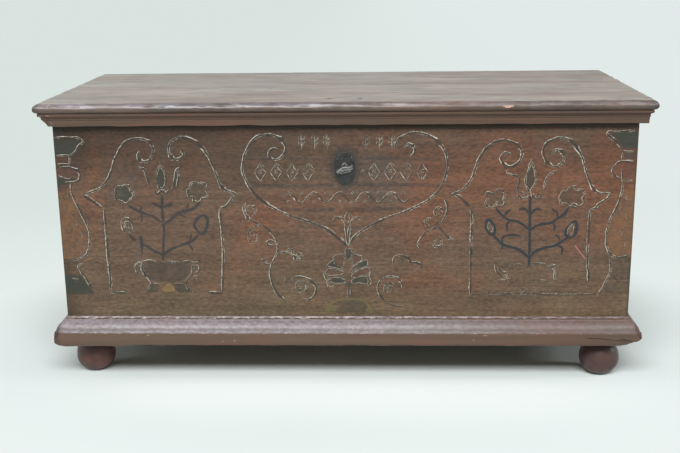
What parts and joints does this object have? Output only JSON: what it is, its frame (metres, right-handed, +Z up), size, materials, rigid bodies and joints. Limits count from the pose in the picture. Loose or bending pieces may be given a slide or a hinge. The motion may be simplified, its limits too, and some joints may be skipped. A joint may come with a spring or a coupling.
{
  "type": "blanket chest",
  "caption": "Low board chest with a hinged lift lid, moulded lid and base, turned bun feet, an inside lock, a swinging keyhole cover and an open end till.",
  "frame": {"origin": "on the floor under the middle of the overall box", "axes": "+X to the right seen from the front, +Y to the back, +Z up; the decorated front faces -Y"},
  "size_m": [1.37, 0.6054, 0.656],
  "materials": {
    "painted_case": "old brown paint with incised and filled decoration, worn",
    "painted_moulding": "old brown paint, rubbed, with a satin sheen",
    "painted_lid": "greyed worn paint with lengthwise grain",
    "turned_feet": "maroon-brown paint, satin",
    "bare_pine": "bare aged pine",
    "wrought_iron": "hammered, dark oxide with a little rust",
    "dark_iron": "dark grey rubbed iron"
  },
  "bodies": {
    "case": {"front_board_upper": "painted_case", "front_board_lower": "painted_case", "back_board_upper": "bare_pine", "back_board_lower": "bare_pine", "left_board_upper": "painted_case", "left_board_lower": "painted_case", "right_board_upper": "painted_case", "right_board_lower": "painted_case", "bottom_plank_front": "bare_pine", "bottom_plank_middle": "bare_pine", "bottom_plank_rear": "bare_pine", "foot_front_left": "turned_feet", "foot_front_right": "turned_feet", "foot_rear_left": "turned_feet", "foot_rear_right": "turned_feet", "base_moulding_front": "painted_moulding", "base_moulding_left": "painted_moulding", "base_moulding_right": "painted_moulding", "hinge_left_back_strap": "wrought_iron", "hinge_right_back_strap": "wrought_iron", "hinge_left_pin": "wrought_iron", "hinge_right_pin": "wrought_iron", "back_strap_nails": "wrought_iron", "lock_plate": "wrought_iron", "lock_cap": "wrought_iron", "lock_spring": "wrought_iron", "key_post": "wrought_iron", "lock_nails": "wrought_iron", "escutcheon_plate": "dark_iron", "cover_rivet": "dark_iron", "escutcheon_nail": "dark_iron", "till_side": "bare_pine", "till_bottom": "bare_pine", "bottom_nails": "wrought_iron", "base_nails_front": "wrought_iron", "base_nails_left": "wrought_iron", "base_nails_right": "wrought_iron"},
    "lid": {"lid_plank_front": "painted_lid", "lid_plank_rear": "painted_lid", "lid_moulding_front": "painted_moulding", "lid_moulding_left": "painted_moulding", "lid_moulding_right": "painted_moulding", "hinge_left_lid_strap": "wrought_iron", "hinge_right_lid_strap": "wrought_iron", "lid_strap_nails": "wrought_iron", "lid_staple": "wrought_iron", "lid_staple_nails": "wrought_iron", "lid_moulding_nails": "wrought_iron"},
    "keyhole_cover": {"keyhole_cover": "dark_iron"},
    "lock_bolt": {"lock_bolt": "wrought_iron"}
  },
  "joints": [
    {"name": "lid_hinge", "type": "hinge", "parent": "case", "child": "lid", "pos_m": [0, 0.29725, 0.632], "axis": [-1, 0, 0], "range_deg": [0, 100]},
    {"name": "keyhole_cover_swing", "type": "hinge", "parent": "case", "child": "keyhole_cover", "pos_m": [0.0035, -0.2718, 0.532], "axis": [0, 1, 0], "range_deg": [-150, 150]},
    {"name": "lock_bolt_slide", "type": "slide", "parent": "case", "child": "lock_bolt", "axis": [1, 0, 0], "range_m": [0, 0.014]}
  ]
}
